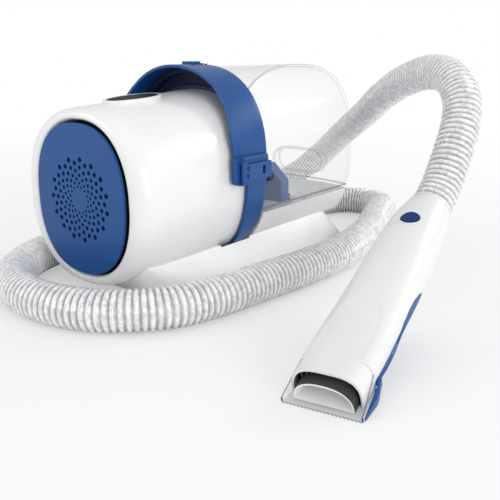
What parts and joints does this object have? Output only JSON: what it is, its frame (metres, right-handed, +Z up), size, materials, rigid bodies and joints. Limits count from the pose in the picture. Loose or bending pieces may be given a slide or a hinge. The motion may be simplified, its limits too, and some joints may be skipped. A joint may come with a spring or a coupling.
{
  "type": "pet dryer",
  "caption": "Free-standing pet dryer with motor housing, clear dust canister, corrugated hose and toothed grooming handpiece.",
  "frame": {"origin": "on the floor, in the plane of the foot ring's underside, on the body's mid plane, under the bulkhead's rear face", "axes": "+Z up; +Y towards the rear, from the intake cover to the canister; +X to the side where the handpiece lies"},
  "size_m": [0.4959, 0.6662, 0.24],
  "materials": {
    "gloss_white": "glossy white moulded plastic",
    "satin_white": "satin white moulded plastic of the base",
    "blue": "glossy bright blue plastic",
    "deep_blue": "dark blue plastic",
    "black_glass": "glossy black display lens",
    "clear": "clear plastic with a faint blue tint",
    "dark_grey": "dark grey plastic",
    "light_grey": "light grey corrugated hose",
    "inner_grey": "unpainted inner moulding",
    "board_green": "circuit board",
    "steel": "bare steel",
    "alloy": "motor can",
    "mica": "mica heater frame",
    "black_rubber": "black rubber",
    "foam": "open foam",
    "filter_paper": "pleated filter medium",
    "screw_metal": "bright screw head"
  },
  "bodies": {
    "dryer": {"motor_housing": "gloss_white", "intake_frame": "dark_grey", "foam_filter": "foam", "display_bezel": "gloss_white", "display_lens": "black_glass", "control_board": "board_green", "motor": "alloy", "motor_mounts": "black_rubber", "front_baffle": "inner_grey", "rear_baffle": "inner_grey", "heater_frame": "mica", "bulkhead": "deep_blue", "seal_collar": "deep_blue", "carry_arch": "blue", "strap_right": "blue", "strap_left": "blue", "bracket_right": "blue", "bracket_left": "blue", "latch_pins": "steel", "catch_spring": "steel", "filter_pleats": "filter_paper", "filter_caps": "blue", "base": "satin_white", "base_plate": "inner_grey", "base_screws": "steel", "foot_ring": "black_rubber", "air_duct": "inner_grey", "hose_port": "gloss_white", "hose": "light_grey", "hand_shell": "gloss_white", "hand_tail": "gloss_white", "hand_keel": "blue", "hose_cuff": "gloss_white", "button_switch": "dark_grey", "head_shell": "gloss_white", "mouth_arch": "gloss_white", "head_bars": "dark_grey", "toothed_guard": "clear"},
    "fan": {"fan_wheel": "dark_grey"},
    "cover": {"intake_cover": "blue"},
    "canister": {"canister_hood": "clear", "canister_tray": "clear", "catch_hook": "clear", "pull_loop": "clear", "stop_block_right": "blue", "stop_block_left": "blue", "guide_studs": "deep_blue", "tray_screws": "screw_metal"},
    "latch_r": {"latch_right": "blue"},
    "latch_l": {"latch_left": "blue"},
    "catch": {"catch_tab": "blue"},
    "button": {"push_button": "blue"}
  },
  "joints": [
    {"name": "fan_spin", "type": "hinge", "parent": "dryer", "child": "fan", "pos_m": [0, -0.016, 0.106], "axis": [0, -1, 0], "continuous": true},
    {"name": "cover_pull", "type": "slide", "parent": "dryer", "child": "cover", "axis": [0, -1, 0], "range_m": [0, 0.012]},
    {"name": "canister_slide", "type": "slide", "parent": "dryer", "child": "canister", "axis": [0, 1, 0], "range_m": [0, 0.04]},
    {"name": "latch_right_turn", "type": "hinge", "parent": "dryer", "child": "latch_r", "pos_m": [0.1068, -0.0595, 0.12], "axis": [0, 0, -1], "range_deg": [0, 35]},
    {"name": "latch_left_turn", "type": "hinge", "parent": "dryer", "child": "latch_l", "pos_m": [-0.1068, -0.0595, 0.12], "axis": [0, 0, 1], "range_deg": [0, 35]},
    {"name": "catch_press", "type": "slide", "parent": "dryer", "child": "catch", "axis": [0, 0, -1], "range_m": [0, 0.002], "stiffness_N_per_m": 1500, "deforming": ["catch_spring"]},
    {"name": "button_press", "type": "slide", "parent": "dryer", "child": "button", "axis": [-0.0369, 0.2562, -0.9659], "range_m": [0, 0.0016], "stiffness_N_per_m": 1200}
  ]
}
